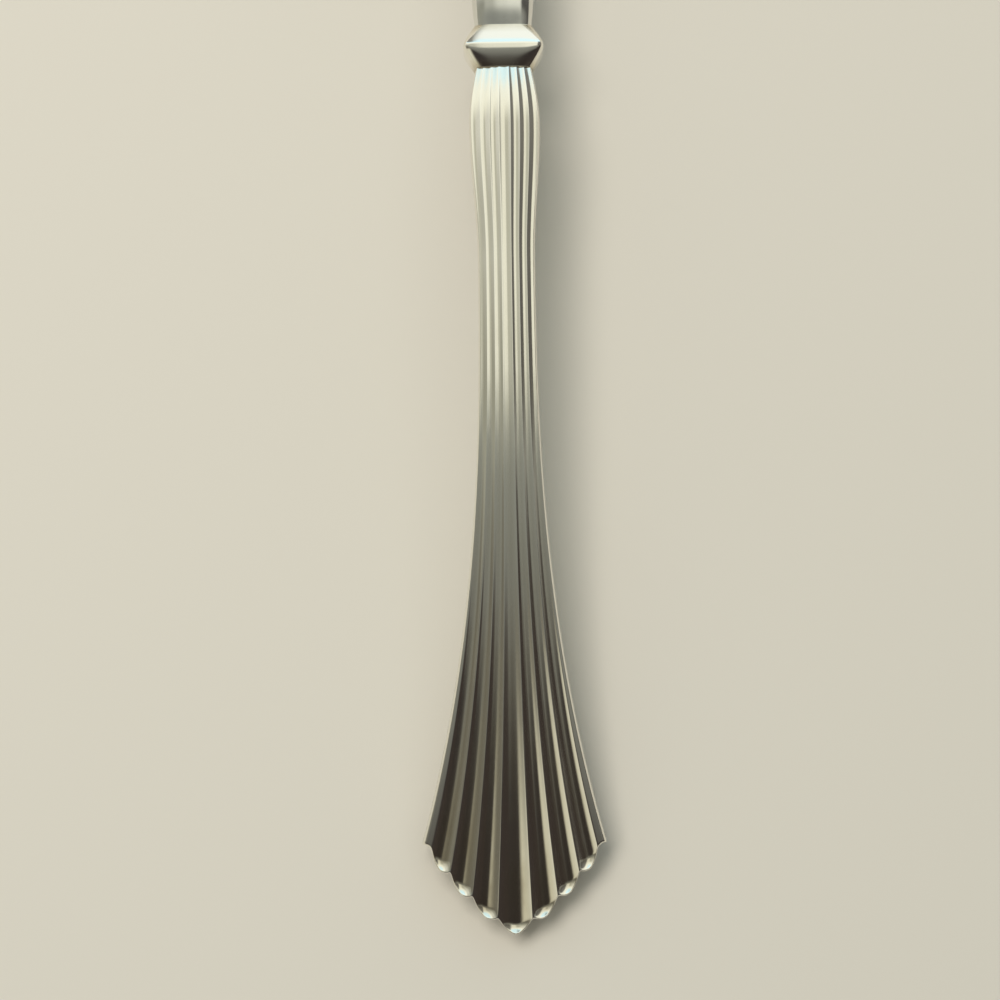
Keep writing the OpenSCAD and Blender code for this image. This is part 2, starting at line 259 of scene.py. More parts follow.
def make_piece(name, points, quads, material, node):
    """A closed mesh of quads that stands for a solid, with its place in its points. Points that fall
    together become one, and a quad that loses a corner becomes a triangle or is left out. Gives the
    piece and the numbers of the points that it uses."""
    points = np.concatenate([p.reshape(-1, 3) for p in points])
    quads = np.concatenate([q.reshape(-1, 4) for q in quads])
    spots = np.round(points / WELD)
    first, same = np.unique(spots, axis=0, return_index=True, return_inverse=True)[1:]
    quads = first[same.ravel()][quads]
    corner = quads != np.roll(quads, 1, axis=1)
    whole = corner.sum(1) > 2
    sides = corner.sum(1)[whole]
    used, loops = np.unique(quads[whole][corner[whole]], return_inverse=True)
    points = points[used] * MM
    mesh = bpy.data.meshes.new(name)
    mesh.vertices.add(len(points))
    mesh.vertices.foreach_set("co", points.astype(np.float32).ravel())
    mesh.loops.add(loops.size)
    mesh.loops.foreach_set("vertex_index", loops.ravel().astype(np.int32))
    mesh.polygons.add(len(sides))
    mesh.polygons.foreach_set("loop_start", (np.cumsum(sides) - sides).astype(np.int32))
    mesh.polygons.foreach_set("use_smooth", np.ones(len(sides), bool))
    mesh.update(calc_edges=True)
    mesh.set_sharp_from_angle(angle=SHARP_ANGLE)
    mesh.materials.append(material)
    piece = add_object(name, mesh)
    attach(piece, "root")
    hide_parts(node)
    return piece, used


def add_attribute(piece, name, values):
    """A number at every point of a piece, which its material reads."""
    attribute = piece.data.attributes.new(name, "FLOAT", "POINT")
    attribute.data.foreach_set("value", values.astype(np.float32))


# Handle


def seam_terms(tip_z):
    """The seam's cubic: the heights and slopes at the tip and at the mouth."""
    return tip_z, HANDLE_L * math.tan(TIP_ANGLE), MOUTH_Z, -HANDLE_L * math.tan(MOUTH_ANGLE)


def on_seam(x, h, s, tip_z):
    """Points x beside the seam and h off it. The seam rises from the tip and comes down to the ring."""
    terms = seam_terms(tip_z)
    angle = np.arctan(cubic_slope(s / HANDLE_L, *terms) / HANDLE_L)
    return place(x, h, s, cubic(s / HANDLE_L, *terms), angle)


def along(s, fan, waist, shoulder, mouth, flare):
    """A size along the handle: a power of the way from waist to fan, an ease to the shoulder and
    a quarter sine in to the mouth."""
    to_fan = mix(waist, fan, np.maximum(0, (WAIST_S - s) / (WAIST_S - FAN_CORNER)) ** flare)
    to_shoulder = mix(waist, shoulder, ease((s - WAIST_S) / (SHOULDER_S - WAIST_S)))
    to_mouth = mix(mouth, shoulder, np.sin(math.pi / 2 * (HANDLE_L - s) / SHOULDER_BACK))
    return np.where(s > SHOULDER_S, to_mouth, np.where(s > WAIST_S, to_shoulder, to_fan))


def half_width(s):
    """Half the handle's width."""
    return along(s, FAN_W, WAIST_W, SHOULDER_W, MOUTH_W, FAN_FLARE) / 2


def half_depth(s):
    """Half the handle's thickness on its middle line, before the flutes are taken off."""
    return along(s, FAN_T, WAIST_T, SHOULDER_T, MOUTH_T, DEPTH_FLARE) / 2


def spread(s):
    """How far the handle has opened, from 0 at the waist to 1 at the fan's corners."""
    return np.maximum(0, (2 * half_width(s) - WAIST_W) / (FAN_W - WAIST_W))


def groove_depth(s):
    """Flutes deepen as the handle opens."""
    return mix(WAIST_GROOVE, FAN_GROOVE, spread(s))


def across(u, s, half):
    """Distance from the middle line at a column, for a half width. The flutes share the width between
    the two edge ribs, which widen as the handle opens."""
    rib = mix(WAIST_RIB, FAN_RIB, spread(s))
    on_flutes = np.minimum(np.abs(u), RIB_U) / RIB_U * (half - rib)
    on_rib = np.maximum(0, np.abs(u) - RIB_U) / (1 - RIB_U) * rib
    return np.sign(u) * (on_flutes + on_rib)


def handle_columns():
    """Columns across the handle: the share u of the half width, from -1 to 1, the place within a flute,
    from 0 to 1, and the share at which that flute has its middle. The ridges between flutes are evenly
    spaced but for a wider centre flute. The columns crowd together on the ridges."""
    flute_u = 2 * RIB_U / (FLUTES - 1 + CENTRE_FLUTE)
    widths = np.where(np.arange(FLUTES) == FLUTES // 2, CENTRE_FLUTE, 1) * flute_u
    ridges = np.cumsum(widths) - widths - RIB_U
    way = np.arange(FLUTE_STEPS) / FLUTE_STEPS
    step = way - RIDGE_CROWD * np.sin(2 * math.pi * way) / (2 * math.pi)
    rib = mix(RIB_U, 1, np.sin(np.linspace(0, math.pi / 2, RIB_STEPS + 1)))
    u = np.concatenate([-rib[:0:-1], (ridges[:, None] + widths[:, None] * step).ravel(), rib])
    phase = np.concatenate([np.zeros(RIB_STEPS), np.tile(step, FLUTES), np.zeros(RIB_STEPS + 1)])
    middles = np.repeat(ridges + widths / 2, FLUTE_STEPS)
    middle = np.concatenate([np.ones(RIB_STEPS), middles, np.ones(RIB_STEPS + 1)])
    return u, phase, middle


def lobe_curve(u):
    """How far back the tips of the lobes lie: a V with a rounded point in the middle."""
    return (FAN_CORNER - SCALLOP + RIB_OUT) * vee(u, END_ROUND)


def scalloped_end(u, phase):
    """Where the handle ends at each column: a lobe at every flute behind the curve of their tips, and
    edge ribs that stand out beyond the curve."""
    on_rib = np.maximum(0, np.abs(u) - RIB_U) / (1 - RIB_U)
    return lobe_curve(u) + SCALLOP * (1 - flute_share(phase)) - RIB_OUT * on_rib**2


def flute_share(phase):
    """Depth across a flute from 0 on the ridge to 1 on the floor: a power of the way from the floor,
    which makes the floor wide and the ridges narrow, with rounded ridges."""

    def lowered(edge):
        """The depth before it is made 1 on the floor, at a distance from the nearer ridge."""
        from_floor = 1 - 2 * (np.sqrt(edge**2 + RIDGE_ROUND**2) - RIDGE_ROUND)
        return 1 - from_floor**FLUTE_POWER

    return lowered(np.minimum(phase, 1 - phase)) / lowered(0.5)


def scoop(middle, s, e):
    """How deep a flute is at s, e behind the scalloped end: a quarter sine down from an end wall, which
    lies between a line straight across at the tip of the lobe and the outline of the lobe."""
    wall = mix(lobe_curve(middle), s - e, WALL_BEND) + RIM_R / 2
    return np.sin(math.pi / 2 * np.clip((s - wall) / SCOOP_L, 0, 1))


def arch_height(s, u):
    """Height of the low arch across the handle at a share of the half width. The fan's is rounder."""
    return half_depth(s) * (1 - mix(WAIST_ARCH, FAN_ARCH, spread(s)) * u**2)


def outer_height(x, phase, middle, s, e):
    """Height over the seam, e behind the scalloped end: a low arch across the handle with sides that
    round in, less the flute, whose floor rises to its end in a scoop, rounded in at the rim."""
    half = half_width(s)
    arch = arch_height(s, x / half) * round_in((half - np.abs(x)) / SIDE_R)
    return (arch - groove_depth(s) * flute_share(phase) * scoop(middle, s, e)) * round_in(e / RIM_R)


def inner_height(x, phase, s, e):
    """The same one sheet thickness further in, e behind the soldered land at the end."""
    half = half_width(s) - WALL
    arch = (arch_height(s, x / half) - WALL) * round_in((half - np.abs(x)) / SIDE_R_IN)
    return arch * round_in(e / TIP_LAND) - groove_depth(s) * flute_share(phase) * ease(e / TIP_LAND)


def handle_rows(start):
    """s at every row and column, closest together at the end and at the mouth."""
    share = (1 - np.cos(np.linspace(0, math.pi, HANDLE_ROWS))) / 2
    return mix(start, HANDLE_L, share[:, None])


def tip_height():
    """The seam's height at the tip, at which the back of the fan rests on the table: the most that any
    point of the fan's end needs. A point gains only a share of the tip's height, by the seam's cubic."""
    u, phase, middle = handle_columns()
    start = scalloped_end(u, phase)
    s = handle_rows(start)
    low = outer_height(across(u, s, half_width(s)), phase, middle, s, s - start) * math.cos(TIP_ANGLE)
    fan_end = s < 2 * FAN_CORNER
    t = s[fan_end] / HANDLE_L
    need = (low[fan_end] - cubic(t, *seam_terms(0))) / cubic(t, 1, 0, 0, 0)
    return need.max()


TIP_Z = tip_height()


def handle_shell(name, side, material, node):
    """One struck shell, side 1 for the front and -1 for the back: an outside and an inside surface
    over the same rows and columns, joined at the scalloped end, the mouth and the two seam edges.
    A shallow dip along the edges is the line of the seam. Tarnish gathers on the floors of the flutes
    and inside."""
    u, phase, middle = handle_columns()
    start = scalloped_end(u, phase)
    s = handle_rows(start)
    x = across(u, s, half_width(s))
    height = outer_height(x, phase, middle, s, s - start)
    dip = SEAM_DIP * np.exp(-((height / SEAM_REACH) ** 2)) * np.sign(u) * (np.abs(u) > RIB_U)
    outside = on_seam(x - dip, side * height, s, TIP_Z)
    land = start + TIP_LAND
    s_in = handle_rows(land)
    x_in = across(u, s_in, half_width(s_in) - WALL)
    inside = on_seam(x_in, side * inner_height(x_in, phase, s_in, s_in - land), s_in, TIP_Z)
    out = np.arange(s.size).reshape(s.shape)
    into = out + s.size
    quads = [
        grid_quads(out),
        grid_quads(into)[..., ::-1],
        grid_quads(np.stack([into[0], out[0]])),
        grid_quads(np.stack([out[-1], into[-1]])),
        grid_quads(np.stack([into[:, 0], out[:, 0]], 1)),
        grid_quads(np.stack([out[:, -1], into[:, -1]], 1)),
    ]
    if side < 0:
        quads = [q[..., ::-1] for q in quads]
    piece, used = make_piece(name, [outside, inside], quads, material, node)
    tarnish = flute_share(phase) * scoop(middle, s, s - start) * mix(SHALLOW_TARNISH, 1, spread(s))
    add_attribute(piece, "hollow", np.concatenate([tarnish.ravel(), np.ones(s.size)])[used])


# Ring


def ring_size(height, middle, end):
    """Half a size of the ring at a height along its axis: two slopes that meet in a rounded edge."""
    return mix(middle, end, vee(2 * height / RING_L, RING_ROUND)) / 2


def ring_band(material):
    """The ring: a superellipse carried along an axis that follows the handle's slope at the mouth. It
    swells to a soft edge and is rounder at its two flat ends, which have eased edges and more tarnish.
    A round bore takes the tang."""
    arc = np.sin(np.linspace(-1, 1, ARC_STEPS) * math.pi / 2) * (RING_L / 2 - RING_EDGE)
    bend = np.linspace(0, math.pi / 2, EDGE_STEPS + 1)[1:]
    out = RING_EDGE * np.sin(bend)
    drop = RING_EDGE * (1 - np.cos(bend))
    height = np.concatenate([arc[0] - out[::-1], arc, arc[-1] + out])[:, None]
    inset = np.concatenate([drop[::-1], 0 * arc, drop])[:, None]
    turn = np.linspace(0, 2 * math.pi, RING_TURNS, endpoint=False)
    at = np.clip(height, arc[0], arc[-1])
    square = mix(RING_SQUARE, RING_END_SQUARE, np.abs(2 * at / RING_L))
    beside = np.sign(np.sin(turn)) * np.abs(np.sin(turn)) ** (2 / square)
    over = np.sign(np.cos(turn)) * np.abs(np.cos(turn)) ** (2 / square)
    x = beside * (ring_size(at, RING_W, RING_END_W) - inset)
    h = over * (ring_size(at, RING_T, RING_END_T) - inset)
    bore_ends = np.array([[RING_L / 2], [-RING_L / 2]])
    x = np.concatenate([x, np.broadcast_to(BORE_D / 2 * np.sin(turn), (2, turn.size))])
    h = np.concatenate([h, np.broadcast_to(BORE_D / 2 * np.cos(turn), (2, turn.size))])
    height = np.concatenate([height, bore_ends])
    forward = RING_L / 2 + height
    s = HANDLE_L + forward * math.cos(MOUTH_ANGLE)
    points = place(x, h, s, MOUTH_Z - forward * math.sin(MOUTH_ANGLE), -MOUTH_ANGLE)
    number = np.arange(x.size).reshape(x.shape)
    quads = grid_quads(np.pad(number, ((0, 1), (0, 1)), mode="wrap"))
    piece, used = make_piece("ring_band", [points], [quads], material, "ring_collar")
    tarnish = ease((np.abs(2 * height / RING_L) - RING_TARNISH_FROM) / (1 - RING_TARNISH_FROM))
    add_attribute(piece, "hollow", np.broadcast_to(tarnish, number.shape).ravel()[used])


# Bowl, neck and tang


def rounded(a, squareness):
    """Share of the thickness at a share of the width, with edges that are rounded by a superellipse."""
    return np.maximum(0, 1 - np.abs(a) ** squareness) ** (1 / squareness)


def bowl_row(s):
    """Half width, depth, thickness, squareness and rim height of the bowl, s beyond the shank, and how
    far past its widest place s is. It opens along a warped cosine and closes in a quarter ellipse. The
    wall eases to its thickness and its rim to its squareness on the way to the widest place."""
    v = np.clip(s / BOWL_WIDE_AT, 0, 1)
    share = (1 - np.cos(math.pi * v**HEEL_WARP)) / 2
    past = np.clip((s - BOWL_WIDE_AT) / BOWL_LIP, 0, 1)
    closing = np.sqrt(1 - past**2)
    width = mix(SHANK_W, BOWL_W, share) / 2 * closing
    depth = BOWL_DEPTH * share**DEPTH_POWER * closing**2
    thick = mix(SHANK_T, BOWL_T, ease(v / THIN_BY))
    square = mix(SHANK_SQUARE, RIM_SQUARE, ease(v / SQUARE_BY))
    return width, depth, thick, square, LIP_RISE * (s / BOWL_L) ** 2, past


def bowl_wall(a, side, s):
    """Points of the bowl's wall, side 1 above and -1 below: a dish that is a power of the share a, with
    half the thickness added straight up or down over the slots and square to the wall at the rim."""
    width, depth, thick, square, rise, past = bowl_row(s)
    lean = np.arctan(depth * DISH * np.abs(a) ** (DISH - 1) * np.sign(a) / width)
    edge = ease((np.abs(a) - PLUMB_TO) / (SQUARE_FROM - PLUMB_TO))
    to_rim = np.sqrt(a**2 * (1 - past**2) + past**2)
    half = side * thick / 2 * rounded(to_rim, square)
    x = width * a - half * np.sin(lean) * edge
    up = half * mix(1 / np.cos(lean), np.cos(lean), edge)
    return place(x, 0, HEEL_S + s, RIM_Z + rise - depth * (1 - np.abs(a) ** DISH) + up, 0)


def neck_size(y, seat, bulb, shank):
    """A size along the neck: a quarter sine out to the bulb and an ease down to the shank."""
    swell = mix(seat, bulb, np.sin(math.pi / 2 * np.minimum(1, y / NECK_BULB_AT)))
    settle = mix(bulb, shank, ease((y - NECK_BULB_AT) / (NECK_L - NECK_BULB_AT)))
    return np.where(y < NECK_BULB_AT, swell, settle)


def neck_wall(a, side, y):
    """Points of the neck: oval on the ring, swelling to a bulb and flattening to the shank."""
    t = y / NECK_L
    terms = RING_TOP_Z, -NECK_L * math.tan(MOUTH_ANGLE), RIM_Z, 0
    angle = np.arctan(cubic_slope(t, *terms) / NECK_L)
    half = neck_size(y, NECK_T, NECK_BULB_T, SHANK_T) / 2
    x = a * neck_size(y, NECK_W, NECK_BULB_W, SHANK_W) / 2
    h = side * half * rounded(a, mix(NECK_SQUARE, SHANK_SQUARE, ease(t)))
    return place(x, h, RING_TOP_S + y, cubic(t, *terms), angle)


def tang_wall(a, side):
    """Points of the flat tang, along the seam inside the handle and then through the ring."""
    x = a * TANG_W / 2
    h = side * TANG_T / 2 * rounded(a, TANG_SQUARE)
    s = np.linspace(HANDLE_L - TANG_L, HANDLE_L, TANG_ROWS)[:, None]
    seat = place(x, h, RING_TOP_S, RING_TOP_Z, -MOUTH_ANGLE)
    return np.concatenate([on_seam(x, h, s, TIP_Z), seat[None]])


def slot_distance(x, y):
    """Distance outside the nearest slot, below 0 within it, and the direction away from it. A slot is
    all that lies within half its width of its middle line, and the lines' lengths follow an oval."""
    middle = (np.arange(SLOTS) - (SLOTS - 1) / 2) * SLOT_PITCH
    reach = (SLOT_FIELD_L * np.sqrt(1 - (2 * middle / SLOT_FIELD_W) ** 2) - SLOT_W) / 2
    off = np.stack([x[..., None] - middle, y[..., None] - np.clip(y[..., None], -reach, reach)], -1)
    far = np.linalg.norm(off, axis=-1)
    nearest = np.argmin(far, -1)[..., None]
    far = np.take_along_axis(far, nearest, -1)
    off = np.take_along_axis(off, nearest[..., None], -2)[..., 0, :]
    return far[..., 0] - SLOT_W / 2, off / np.maximum(far, TINY)


def slot_edges(number, kept):
    """Pairs of point numbers along every edge between a kept cell and a missing one, with the kept
    cell on the left."""
    after, before = kept[:-1] & ~kept[1:], kept[1:] & ~kept[:-1]
    right, left = kept[:, :-1] & ~kept[:, 1:], kept[:, 1:] & ~kept[:, :-1]
    row, column = number[1:-1], number[:, 1:-1]
    pairs = [
        (row[:, 1:][after], row[:, :-1][after]),
        (row[:, :-1][before], row[:, 1:][before]),
        (column[:-1][right], column[1:][right]),
        (column[1:][left], column[:-1][left]),
    ]
    return np.concatenate([np.stack(pair) for pair in pairs], 1)


def pierced_bowl(material):
    """Tang, neck and bowl as one skin of two surfaces, above and below, that meet along their edges.
    Cells inside a slot are left out, the points round them are drawn to the slot's outline, and
    walls with rounded edges join the two surfaces there."""
    a = -np.cos(np.linspace(0, math.pi, BOWL_COLUMNS))
    neck_y = np.linspace(0, NECK_L, NECK_ROWS, endpoint=False)[:, None]
    lip_s = mix(BOWL_WIDE_AT, BOWL_L, np.sin(np.linspace(0, LIP_END, LIP_ROWS)))
    bowl_s = np.append(np.linspace(0, BOWL_WIDE_AT, HEEL_ROWS, endpoint=False), lip_s)[:, None]
    bowl_a = np.broadcast_to(a, (bowl_s.size, a.size))

    # Cells that stay, and the points on their border with the slots
    plan_x = bowl_row(bowl_s)[0] * bowl_a
    plan_y = np.broadcast_to(bowl_s - BOWL_WIDE_AT, bowl_a.shape)
    corners = np.stack([plan_x, plan_y])
    middles = (corners[:, :-1, :-1] + corners[:, 1:, :-1] + corners[:, :-1, 1:] + corners[:, 1:, 1:]) / 4
    kept = slot_distance(*middles)[0] > SLOT_EDGE
    padded = np.pad(kept, 1, constant_values=True).astype(int)
    around = padded[:-1, :-1] + padded[1:, :-1] + padded[:-1, 1:] + padded[1:, 1:]
    border = (around > 0) & (around < 4)

    def drawn(inset):
        """Bowl shares and places of the border points, drawn to a distance outside their slots."""
        far, away = slot_distance(plan_x[border], plan_y[border])
        x, y = (corners[:, border].T + (inset - far)[:, None] * away).T
        s = y + BOWL_WIDE_AT
        return x / bowl_row(s)[0], s

    shares, places = bowl_a.copy(), np.broadcast_to(bowl_s, bowl_a.shape).copy()
    shares[border], places[border] = drawn(SLOT_EDGE)
    sides = []
    for side in (1, -1):
        walls = [tang_wall(a, side), neck_wall(a, side, neck_y), bowl_wall(shares, side, places)]
        sides.append(np.concatenate(walls))
    rows = len(sides[0])
    top = np.arange(rows * a.size).reshape(rows, a.size)
    under = top + top.size
    under[:, [0, -1]] = top[:, [0, -1]]
    stays = np.ones((rows - 1, a.size - 1), bool)
    stays[rows - len(bowl_s):] = kept
    quads = [
        grid_quads(top)[stays],
        grid_quads(under)[stays][:, ::-1],
        grid_quads(np.stack([under[0], top[0]])),
        grid_quads(np.stack([top[-1], under[-1]])),
    ]

    # Walls of the slots: rings of points from the top's border, round the edges, to the underside's
    first = 2 * top.size
    bend = np.linspace(0, math.pi / 2, EDGE_STEPS + 1)[1:]
    rings = [top]
    points = list(sides)
    for side, turns in ((1, bend), (-1, bend[::-1])):
        for turn in turns:
            ring_a, ring_s = drawn(SLOT_EDGE * (1 - math.sin(turn)))
            ring = bowl_wall(ring_a, side, ring_s)
            ring[:, 2] -= side * SLOT_EDGE * (1 - math.cos(turn))
            number = np.zeros_like(top)
            number[rows - len(bowl_s):][border] = first + np.arange(len(ring))
            first += len(ring)
            rings.append(number)
            points.append(ring)
    rings.append(under)
    start, end = slot_edges(top, stays)
    for upper, lower in zip(rings[:-1], rings[1:]):
        upper, lower = upper.ravel(), lower.ravel()
        quads.append(np.stack([upper[end], upper[start], lower[start], lower[end]], -1))
    make_piece("pierced_bowl", points, quads, material, "slotted_bowl")


# Materials: depths of lines, waves and grain, and the roughness that a hollow adds
LINE_DEPTH = 0.002
PLATE_WAVE = 0.012
STEEL_WAVE = 0.015
CEMENT_GRAIN = 0.05
HOLLOW_DULLER = 0.05


def linear(hex_colour):
    """An sRGB hex colour as linear red, green, blue and alpha."""
    parts = [int(hex_colour[i:i + 2], 16) / 255 for i in (1, 3, 5)]
    return [c / 12.92 if c <= 0.04045 else ((c + 0.055) / 1.055) ** 2.4 for c in parts] + [1]


def add_node(tree, kind, inputs=None, stops=None, **settings):
    """Adds a node with its settings. inputs gives each socket a value or the output it is linked to,
    and stops gives a colour ramp its places and colours."""
    node = tree.nodes.new(kind)
    for name, value in settings.items():
        setattr(node, name, value)
    for socket, value in (inputs or {}).items():
        if isinstance(value, bpy.types.NodeSocket):
            tree.links.new(value, node.inputs[socket])
        else:
            node.inputs[socket].default_value = value
    for i, (position, colour) in enumerate(stops or []):
        elements = node.color_ramp.elements
        element = elements[i] if i < 2 else elements.new(position)
        element.position = position
        element.color = colour
    return node


def new_material(name):
    """An empty node material: its tree and its surface socket."""
    material = bpy.data.materials.new(name)
    material.use_nodes = True
    tree = material.node_tree
    tree.nodes.clear()
    output = add_node(tree, "ShaderNodeOutputMaterial")
    return material, tree, output.inputs["Surface"]


def scaled(tree, sizes):
    """Object coordinates divided by a pattern's size along each axis, in millimetres."""
    coordinates = add_node(tree, "ShaderNodeTexCoord")
    scale = [1 / (size * MM) for size in sizes]
    return add_node(tree, "ShaderNodeMapping",
                    {"Vector": coordinates.outputs["Object"], "Scale": scale}).outputs["Vector"]


def finish_metal(tree, surface, colour, rough, wave, wave_depth, lines):
    """Metal that is uneven in slow waves, a hand-worked look, with fine polishing lines over them."""
    waves = add_node(tree, "ShaderNodeBump", {"Height": wave, "Strength": 1, "Distance": wave_depth * MM})
    bump = add_node(tree, "ShaderNodeBump", {
        "Height": lines, "Strength": 1, "Distance": LINE_DEPTH * MM, "Normal": waves.outputs["Normal"]})
    shader = add_node(tree, "ShaderNodeBsdfPrincipled", {
        "Base Color": colour, "Metallic": 1, "Roughness": rough, "Normal": bump.outputs["Normal"]})
    tree.links.new(shader.outputs["BSDF"], surface)


def silver_plate():
    """Silver plate on struck sheet, buffed by hand: warm white and mirror-like on the ridges, a little
    yellow-brown and less clear in the flutes, where the buff doesn't reach. The buff leaves fine lines
    along the handle, here drawn some three times too wide so that they show."""
    material, tree, surface = new_material("silver_plate_struck_and_buffed")
    hollow = add_node(tree, "ShaderNodeAttribute", attribute_name="hollow").outputs["Fac"]
    lines = add_node(tree, "ShaderNodeTexNoise", {
        "Vector": scaled(tree, (0.25, 9, 0.25)), "Scale": 1, "Detail": 3, "Roughness": 0.6}).outputs["Fac"]
    wave = add_node(tree, "ShaderNodeTexNoise", {
        "Vector": scaled(tree, (4, 7, 4)), "Scale": 1, "Detail": 1}).outputs["Fac"]
    smudge = add_node(tree, "ShaderNodeTexNoise", {
        "Vector": scaled(tree, (6, 11, 6)), "Scale": 1, "Detail": 5, "Roughness": 0.6}).outputs["Fac"]
    tarnish = add_node(tree, "ShaderNodeMath", {0: hollow, 1: smudge}, operation="MULTIPLY").outputs[0]
    colour = add_node(tree, "ShaderNodeValToRGB", {"Fac": tarnish}, stops=[
        (0.0, linear("#F1EEE4")), (0.35, linear("#E2DCCB")), (0.8, linear("#A99C84"))]).outputs["Color"]
    buffed = add_node(tree, "ShaderNodeMapRange", {
        "Value": smudge, "From Min": 0.3, "From Max": 0.7,
        "To Min": 0.09, "To Max": 0.17}).outputs["Result"]
    rough = add_node(tree, "ShaderNodeMath", {0: hollow, 1: HOLLOW_DULLER, 2: buffed},
                     operation="MULTIPLY_ADD").outputs[0]
    finish_metal(tree, surface, colour, rough, wave, PLATE_WAVE, lines)
    return material


def polished_steel():
    """Stainless steel, pressed and polished on a wheel: neutral grey-white and clear, with fine wheel
    marks along the bowl, drawn some three times too wide so that they show, and the dull touch marks
    of use."""
    material, tree, surface = new_material("stainless_steel_pressed_and_polished")
    marks = add_node(tree, "ShaderNodeTexNoise", {
        "Vector": scaled(tree, (0.3, 14, 0.3)), "Scale": 1, "Detail": 3, "Roughness": 0.6}).outputs["Fac"]
    wave = add_node(tree, "ShaderNodeTexNoise", {
        "Vector": scaled(tree, (9, 12, 9)), "Scale": 1, "Detail": 1}).outputs["Fac"]
    touch = add_node(tree, "ShaderNodeTexNoise", {
        "Vector": scaled(tree, (8, 10, 8)), "Scale": 1, "Detail": 5, "Roughness": 0.6}).outputs["Fac"]
    colour = add_node(tree, "ShaderNodeValToRGB", {"Fac": touch}, stops=[
        (0.3, linear("#DAD9D3")), (0.7, linear("#E6E5E0"))]).outputs["Color"]
    rough = add_node(tree, "ShaderNodeMapRange", {
        "Value": touch, "From Min": 0.35, "From Max": 0.75,
        "To Min": 0.09, "To Max": 0.2}).outputs["Result"]
    finish_metal(tree, surface, colour, rough, wave, STEEL_WAVE, marks)
    return material


def handle_filling():
    """Resin and chalk cement, poured hot and set: matt, buff-coloured and a little grainy."""
    material, tree, surface = new_material("resin_cement_poured")
    grain = add_node(tree, "ShaderNodeTexNoise", {
        "Vector": scaled(tree, (0.5, 0.5, 0.5)), "Scale": 1, "Detail": 6}).outputs["Fac"]
    colour = add_node(tree, "ShaderNodeValToRGB", {"Fac": grain}, stops=[
        (0.3, linear("#A08C6E")), (0.7, linear("#C7B597"))]).outputs["Color"]
    bump = add_node(tree, "ShaderNodeBump", {
        "Height": grain, "Strength": 1, "Distance": CEMENT_GRAIN * MM})
    shader = add_node(tree, "ShaderNodeBsdfPrincipled", {
        "Base Color": colour, "Roughness": 0.9, "Normal": bump.outputs["Normal"]})
    tree.links.new(shader.outputs["BSDF"], surface)
    return material


plate = silver_plate()
handle_shell("handle_front_shell", 1, plate, "handle_front")
handle_shell("handle_back_shell", -1, plate, "handle_back")
ring_band(plate)
pierced_bowl(polished_steel())
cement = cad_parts["handle_cement"].data.materials
cement.clear()
cement.append(handle_filling())


# Stage
FLOOR_REACH = 4000
FLOOR_GAP = 0.1


def pale_floor():
    """A wide matt floor just under the spoon."""
    material, tree, surface = new_material("floor_matt_paint")
    shader = add_node(tree, "ShaderNodeBsdfPrincipled", {
        "Base Color": linear("#CFCBC2"), "Roughness": 0.9, "Specular IOR Level": 0.2})
    tree.links.new(shader.outputs["BSDF"], surface)
    reach = FLOOR_REACH * MM
    low = cad_box[0].z - FLOOR_GAP * MM
    corners = [(x * reach, y * reach, low) for x, y in ((-1, -1), (1, -1), (1, 1), (-1, 1))]
    mesh = bpy.data.meshes.new("floor")
    mesh.from_pydata(corners, [], [(0, 1, 2, 3)])
    mesh.materials.append(material)
    floor = add_object("floor", mesh)


